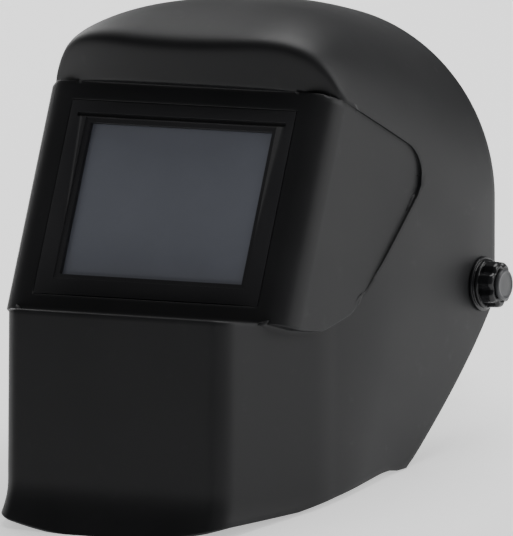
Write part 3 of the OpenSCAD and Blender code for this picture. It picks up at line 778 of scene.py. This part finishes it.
def cleaned(obj):
    """Joins points in one place and turns the faces outwards."""
    bm = bmesh.new()
    bm.from_mesh(obj.data)
    bmesh.ops.remove_doubles(bm, verts=bm.verts, dist=MADE_MERGE)
    bmesh.ops.recalc_face_normals(bm, faces=bm.faces)
    bm.to_mesh(obj.data)
    bm.free()
    return obj


def softened(node, width):
    """A copy of a carried node with its sharp edges broken by a small radius."""
    source = frame["nodes"][node]
    mat = source.data.materials[0]
    mesh = source.data.copy()
    obj = bpy.data.objects.new(node + "_edges", mesh)
    bpy.context.scene.collection.objects.link(obj)
    bm = bmesh.new()
    bm.from_mesh(mesh)
    bmesh.ops.remove_doubles(bm, verts=bm.verts, dist=COPY_MERGE)
    bm.to_mesh(mesh)
    bm.free()
    radius = obj.modifiers.new("edges", "BEVEL")
    radius.limit_method, radius.angle_limit = "ANGLE", BREAK_ANGLE
    radius.width, radius.segments, radius.use_clamp_overlap = width * MM, 2, True
    baked(obj)
    obj.data.shade_smooth()
    obj.data.set_sharp_from_angle(angle=COPY_CRISP)
    return stands_for(obj, node, mat)


EDGE_BREAKS = {"lens_holder": 0.5, "lens_retainer": 0.3, "washer_left": 0.3, "washer_right": 0.3,
               "ratchet_cover": 0.6, "ratchet_knob": 0.6}
for node_name, width in EDGE_BREAKS.items():
    softened(node_name, width)


def ring_faces(rings, around):
    """Quads between rings of points that lie one after another."""
    faces = []
    for k in range(rings - 1):
        for j in range(around):
            n = (j + 1) % around
            faces.append((k * around + j, k * around + n, (k + 1) * around + n, (k + 1) * around + j))
    return faces


TURN_STEPS, SCALLOP_SPREAD = 196, 0.30


def turned(name, profile, side, lobes=1, depth=0.0):
    """A body turned about the pivot axis from (distance out, radius, share of the scallops) points."""
    turn = np.linspace(0, 2 * math.pi, TURN_STEPS, endpoint=False)
    off = np.abs((turn * lobes / (2 * math.pi)) % 1 - 0.5) * 2 * math.pi / lobes
    scallop = ease(1 - off / SCALLOP_SPREAD)
    rings = []
    for x, r, share in profile:
        cut = r - depth * share * scallop
        rings.append(np.column_stack([np.full(TURN_STEPS, side * x), cut * np.cos(turn), cut * np.sin(turn)]))
    verts = np.vstack(rings) * MM + [0, PIVOT.y, PIVOT.z]
    obj = cleaned(new_piece(name, verts, ring_faces(len(profile), TURN_STEPS)))
    obj.data.set_sharp_from_angle(angle=TURNED_CRISP)
    return obj


KNOB_LOBES, SCALLOP_DEPTH = 7, 2.0
knob_low, knob_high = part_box("tension_knob_left")
cap_low, cap_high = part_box("knob_cap_left")
KNOB_IN, KNOB_OUT, CAP_END = knob_low.x / MM, knob_high.x / MM, cap_high.x / MM
KNOB_R, CAP_R = (knob_high.y - knob_low.y) / 2 / MM, (cap_high.y - cap_low.y) / 2 / MM
BLIND, BORE_R = KNOB_OUT - 2.6, 3.55
GRIP_IN, GRIP_L, SHOULDER = KNOB_IN + 2.8, KNOB_OUT - KNOB_IN - 5.4, 2.6
# threaded hole and back face
KNOB_PROFILE = [(BLIND, 0, 0), (BLIND, BORE_R, 0), (KNOB_IN, BORE_R, 0)]
# flange disc
KNOB_PROFILE += [(KNOB_IN, KNOB_R - 0.3, 0), (KNOB_IN + 0.3, KNOB_R, 0), (KNOB_IN + 1.5, KNOB_R, 0),
                 (KNOB_IN + 1.9, KNOB_R - 0.4, 0)]
# groove between flange and grip, then the scalloped grip
KNOB_PROFILE += [(KNOB_IN + 2.0, KNOB_R - 1.0, 0.3), (KNOB_IN + 2.3, KNOB_R - 1.1, 1),
                 (GRIP_IN, KNOB_R - 0.6, 1)]
KNOB_PROFILE += [(GRIP_IN + GRIP_L * t, KNOB_R - 0.6 - 0.3 * t, 1) for t in (0.25, 0.5, 0.75, 1.0)]
# round shoulder
KNOB_PROFILE += [(KNOB_OUT - SHOULDER + SHOULDER * math.sin(t), KNOB_R - 0.9 - SHOULDER * (1 - math.cos(t)),
                  1 - 0.2 * t) for t in np.linspace(0.15, math.pi / 2, 8)]
# groove round the cap and the face under it
KNOB_PROFILE += [(KNOB_OUT, CAP_R + 1.0, 0.2), (KNOB_OUT - 0.4, CAP_R + 0.6, 0),
                 (KNOB_OUT - 0.4, CAP_R - 0.2, 0), (KNOB_OUT, CAP_R - 0.6, 0), (KNOB_OUT, 0, 0)]
# cap: back face and wall, then (drop from the end, drop from the radius) over its rim and dish
CAP_PROFILE = [(KNOB_OUT, 0, 0), (KNOB_OUT, CAP_R - 0.3, 0), (KNOB_OUT + 0.3, CAP_R, 0)]
CAP_PROFILE += [(CAP_END - drop, CAP_R - back, 0) for drop, back in
                ((0.8, 0), (0.35, 0.2), (0.08, 0.6), (0, 1.0), (0, 1.6), (0.35, 2.0), (0.45, 2.8),
                 (0.35, 5.5), (0.3, CAP_R))]
for hand, side_sign in (("left", 1), ("right", -1)):
    knob = turned("grip_knob_" + hand, KNOB_PROFILE, side_sign, KNOB_LOBES, SCALLOP_DEPTH)
    stands_for(knob, "tension_knob_" + hand, KNOB_PLASTIC)
    stands_for(turned("grip_cap_" + hand, CAP_PROFILE, side_sign), "knob_cap_" + hand, CAP_PLASTIC)


# ---------------------------------------------------------------- padded pieces
def pad_cloth(name, dark, light):
    """Woven cover: over and under threads along the pad's own map, pilled spots and a soft sheen."""
    s = Shade(name)
    place = s.node("ShaderNodeSeparateXYZ", {}, s.value("ShaderNodeUVMap", {"uv_map": "weave"}))
    thread = 2 * math.pi / 0.0011
    u = s.value("ShaderNodeMath", {"operation": "SINE"}, Val(s, place.outputs[0]) * thread)
    v = s.value("ShaderNodeMath", {"operation": "SINE"}, Val(s, place.outputs[1]) * thread)
    weave = u * v * 0.5 + 0.5
    wear = s.step(s.noise(60.0, 4.0), 0.35, 0.7)
    fuzz = s.noise(3200.0, 2.0)
    tone = s.blend(weave * 0.6 + fuzz * 0.3, dark, light)
    s.set(Base_Color=s.blend(wear * 0.25, tone, tuple(c * 1.5 for c in light)),
          Roughness=0.88 + 0.08 * (fuzz - 0.5), Normal=s.bump(weave + 0.4 * fuzz, 0.00012, 0.8),
          Sheen_Weight=0.35, Sheen_Roughness=0.45)
    return s.mat


STATIONS, AROUND = 260, 64
# Length over which a pad's end rounds, width of a sewn channel, and the seam's place and width as
# shares of the half height
END_ROUND, CHANNEL_W, SEAM_AT, SEAM_W = 5.0, 1.5, 0.80, 0.035
# Share of the thickness that lies behind the widest line of the pad's section
BACK_SHARE = 0.18
THREAD_LIFT = 0.10


def cushion(name, back_line, half_h, thick, channels, mid_z):
    """A crowned pad swept along a line in plan: flat back, sewn channels, bound edges, round ends."""
    line = spaced(back_line, np.linspace(0, 1, STATIONS))
    length = float(np.linalg.norm(np.diff(line, axis=0), axis=1).sum())
    run = np.linspace(0, length, STATIONS)
    ahead = np.gradient(line, axis=0)
    ahead /= np.linalg.norm(ahead, axis=1)[:, None]
    inward = np.column_stack([-ahead[:, 1], ahead[:, 0]])
    if (inward[STATIONS // 2] @ line[STATIONS // 2]) > 0:
        inward = -inward
    end = np.clip(np.minimum(run, length - run) / END_ROUND, 0, 1)
    end = np.sqrt(np.clip(1 - (1 - end) ** 2, 0, 1))
    sewn = np.sum([np.exp(-((run - c * length) / CHANNEL_W) ** 2) for c in channels], axis=0)
    # the section: zz is the share of the half height, face is 1 at the front and -1 at the back
    section = np.linspace(0, 2 * math.pi, AROUND, endpoint=False)
    zz = np.sign(np.cos(section)) * np.abs(np.cos(section)) ** 0.55
    face = np.sign(np.sin(section)) * np.abs(np.sin(section)) ** 0.45
    seam = np.exp(-((np.abs(zz) - SEAM_AT) / SEAM_W) ** 2) * (face > 0)
    rings, seam_lines = [], ([], [])
    for k in range(STATIONS):
        puff = 0.55 + 0.45 * (1 - zz ** 2)
        puff = puff * (1 - 0.42 * sewn[k]) - 0.14 * seam
        ripple = 0.025 * np.sin(run[k] * 0.9 + 3 * zz) * np.sin(run[k] * 0.31 + 1.7)
        front = thick * (BACK_SHARE + (1 - BACK_SHARE) * (puff + ripple) * face)
        deep = np.where(face > 0, front, thick * BACK_SHARE * (1 + face))
        deep = thick * BACK_SHARE + (deep - thick * BACK_SHARE) * end[k]
        high = zz * half_h * (0.35 + 0.65 * end[k]) * (1 - 0.035 * sewn[k])
        ring = np.column_stack([line[k] + inward[k] * deep[:, None], high + mid_z])
        rings.append(ring)
        if end[k] > 0.97:
            for sign, seam_line in zip((1, -1), seam_lines):
                j = int(np.argmin(np.abs(zz - SEAM_AT * sign) + 9 * (face <= 0)))
                seam_line.append(ring[j] + [*(inward[k] * THREAD_LIFT), 0])
    rings = np.array(rings) * MM + [0, PIVOT.y, PIVOT.z]
    ends = [tuple(range(AROUND))[::-1], tuple(range((STATIONS - 1) * AROUND, STATIONS * AROUND))]
    obj = new_piece(name, rings.reshape(-1, 3), ring_faces(STATIONS, AROUND) + ends)
    map_weave(obj, run, walked(rings[STATIONS // 2]))
    return obj, [np.array(seam_line) * MM + [0, PIVOT.y, PIVOT.z] for seam_line in seam_lines]


def map_weave(obj, run, girth):
    """Turns the pad's faces outwards and gives it a map in metres: along the pad, and round its section."""
    bm = bmesh.new()
    bm.from_mesh(obj.data)
    bmesh.ops.recalc_face_normals(bm, faces=bm.faces)
    uv = bm.loops.layers.uv.new("weave")
    bm.verts.ensure_lookup_table()
    for f in bm.faces:
        wraps = {v.index % AROUND for v in f.verts} >= {0, AROUND - 1}
        for corner in f.loops:
            k, j = divmod(corner.vert.index, AROUND)
            lift = girth[-1] * AROUND / (AROUND - 1) if wraps and j == 0 else girth[j]
            corner[uv].uv = (run[k] * MM, lift)
    bm.to_mesh(obj.data)
    bm.free()


BEAD_R, BEAD_SHAPE, STITCH_STEP = 0.001, (0.30, 0.30, 1.05), 0.0030


def stitch_tree(mat):
    """Node tree that lays stitches at equal steps along a line."""
    tree = bpy.data.node_groups.new("stitches", "GeometryNodeTree")
    tree.interface.new_socket("Line", in_out="INPUT", socket_type="NodeSocketGeometry")
    tree.interface.new_socket("Step", in_out="INPUT", socket_type="NodeSocketFloat")
    tree.interface.new_socket("Stitches", in_out="OUTPUT", socket_type="NodeSocketGeometry")
    add, link = tree.nodes.new, tree.links.new
    first, last = add("NodeGroupInput"), add("NodeGroupOutput")
    curve, points = add("GeometryNodeMeshToCurve"), add("GeometryNodeCurveToPoints")
    points.mode = "LENGTH"
    bead, shape = add("GeometryNodeMeshUVSphere"), add("GeometryNodeTransform")
    bead.inputs["Segments"].default_value, bead.inputs["Rings"].default_value = 8, 6
    bead.inputs["Radius"].default_value, shape.inputs["Scale"].default_value = BEAD_R, BEAD_SHAPE
    place, real = add("GeometryNodeInstanceOnPoints"), add("GeometryNodeRealizeInstances")
    finish = add("GeometryNodeSetMaterial")
    finish.inputs["Material"].default_value = mat
    link(first.outputs["Line"], curve.inputs["Mesh"])
    link(curve.outputs[0], points.inputs[0])
    link(first.outputs["Step"], points.inputs["Length"])
    link(points.outputs["Points"], place.inputs["Points"])
    link(points.outputs["Rotation"], place.inputs["Rotation"])
    link(bead.outputs["Mesh"], shape.inputs["Geometry"])
    link(shape.outputs[0], place.inputs["Instance"])
    link(place.outputs[0], real.inputs[0])
    link(real.outputs[0], finish.inputs[0])
    link(finish.outputs[0], last.inputs[0])
    return tree


def stitched(name, lines, tree, node, mat):
    """One piece of stitches laid along several lines, on the body of the node that they sew."""
    verts, edges = [], []
    for line in lines:
        edges += [(len(verts) + k, len(verts) + k + 1) for k in range(len(line) - 1)]
        verts += [tuple(p) for p in line]
    mesh = bpy.data.meshes.new(name)
    mesh.from_pydata(verts, edges, [])
    obj = bpy.data.objects.new(name, mesh)
    bpy.context.scene.collection.objects.link(obj)
    laid = obj.modifiers.new("stitches", "NODES")
    laid.node_group = tree
    step = next(i.identifier for i in tree.interface.items_tree if i.name == "Step")
    laid[step] = STITCH_STEP
    baked(obj)
    obj.data.shade_smooth()
    paint(obj, mat)
    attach(obj, BODY[node])


PAD_CLOTH = pad_cloth("sweat_cloth", (0.016, 0.016, 0.018), (0.042, 0.042, 0.046))
THREAD = moulded("seam_thread", (0.05, 0.05, 0.053), (0.075, 0.075, 0.08), 0.6, scuffs=0.1)
SEAMS = stitch_tree(THREAD)
HEAD_MID = (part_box("sweatband")[0].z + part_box("sweatband")[1].z) / 2 / MM - PIVOT.z / MM
# Back of the brow pad: half widths of the band's bow, and where its middle lies
BOW_W, BOW_L, BOW_Y = 81.6, 77.6, -24
# Back of the nape pad: half length, place, and the bend of its two ends
NAPE_HALF, NAPE_Y, NAPE_FLAT, NAPE_DROP, NAPE_BEND = 39, 101.6, 9, 14, 1.35
bow_turn = np.radians(np.linspace(181.5, 358.5, 400))
brow_line = np.column_stack([BOW_W * np.cos(bow_turn), BOW_Y + BOW_L * np.sin(bow_turn)])
nape_x = np.linspace(-NAPE_HALF, NAPE_HALF, 200)
nape_bend = np.clip((np.abs(nape_x) - NAPE_FLAT) / (40 - NAPE_FLAT), 0, 1) ** NAPE_BEND
nape_line = np.column_stack([nape_x, NAPE_Y - NAPE_DROP * nape_bend])
for pad_name, node_name, line, half_h, thick, channels in (
        ("brow_pad", "sweatband", brow_line, 16.8, 4.9, (0.14, 0.28, 0.42, 0.58, 0.72, 0.86)),
        ("nape_pad", "rear_pad", nape_line, 15.8, 6.3, (0.33, 0.67))):
    pad, seams = cushion(pad_name, line, half_h, thick, channels, HEAD_MID)
    stands_for(pad, node_name, PAD_CLOTH)
    stitched(pad_name + "_stitches", seams, SEAMS, node_name, THREAD)

# ---------------------------------------------------------------- floor, light and camera
FLOOR_HALF, ROOM_LIGHT = 9.0, 0.13


def stage_floor():
    """A wide pale floor that also gives off a little light, so that the background is even."""
    s = Shade("pale_floor")
    fine = s.noise(300.0, 3.0)
    s.set(Base_Color=s.blend(s.step(s.noise(2.0), 0.3, 0.7), (0.86, 0.86, 0.86), (0.88, 0.88, 0.88)),
          Roughness=0.85 + 0.05 * (fine - 0.5), Emission_Color=(1.0, 1.0, 1.0), Emission_Strength=0.62)
    corners = [(x * FLOOR_HALF, y * FLOOR_HALF, 0) for x, y in ((-1, -1), (1, -1), (1, 1), (-1, 1))]
    obj = new_piece("floor", corners, [(0, 1, 2, 3)], False)
    paint(obj, s.mat)


def area_light(name, place, target, size, power):
    data = bpy.data.lights.new(name, "AREA")
    data.shape, data.size, data.energy = "SQUARE", size, power
    obj = bpy.data.objects.new(name, data)
    obj.location = place
    obj.rotation_euler = (Vector(target) - Vector(place)).to_track_quat("-Z", "Y").to_euler()
    bpy.context.scene.collection.objects.link(obj)


def set_stage():
    stage_floor()
    world = bpy.data.worlds.new("soft_room")
    bpy.context.scene.world = world
    world.use_nodes = True
    back = world.node_tree.nodes["Background"]
    back.inputs[0].default_value, back.inputs[1].default_value = (1.0, 1.0, 1.0, 1.0), ROOM_LIGHT
    middle = (0, 0, 0.15)
    area_light("overhead", (0.1, 0.9, 2.2), middle, 1.8, 54)
    area_light("left_rear", (-1.7, 1.1, 0.9), middle, 1.2, 17)
    area_light("right_rear", (1.8, 1.0, 0.9), middle, 1.2, 20)


# The camera in the shell's frame: its turn, rise and distance, what it looks at, and the height it takes in
VIEW_TURN, VIEW_RISE, VIEW_REACH = math.radians(30), math.radians(5.96), 9000.0
VIEW_ACROSS, VIEW_UP, VIEW_H, SENSOR = -33.0, 3.2, 536 / 1.67, 36.0


def set_camera():
    """Long lens, looking at the helmet from its front corner, level with the shell's own frame."""
    turn, rise, reach = VIEW_TURN, VIEW_RISE, VIEW_REACH
    right = np.array([math.cos(turn), math.sin(turn), 0])
    back = np.array([math.sin(turn) * math.cos(rise), -math.cos(turn) * math.cos(rise), math.sin(rise)])
    up = np.cross(back, right)
    target = right * VIEW_ACROSS + up * VIEW_UP
    rows = to_row([target + back * reach, target, target + right * 1000, target + up * 1000])
    place, axes = rows[0], [rows[2] - rows[1], rows[3] - rows[1], rows[0] - rows[1]]
    m = Matrix(np.column_stack([a / np.linalg.norm(a) for a in axes])).to_4x4()
    m.translation = place
    data = bpy.data.cameras.new("camera")
    data.sensor_width, data.lens = SENSOR, SENSOR * reach / VIEW_H
    cam = bpy.data.objects.new("camera", data)
    bpy.context.scene.collection.objects.link(cam)
    cam.matrix_world = m
    bpy.context.scene.camera = cam


set_stage()
set_camera()
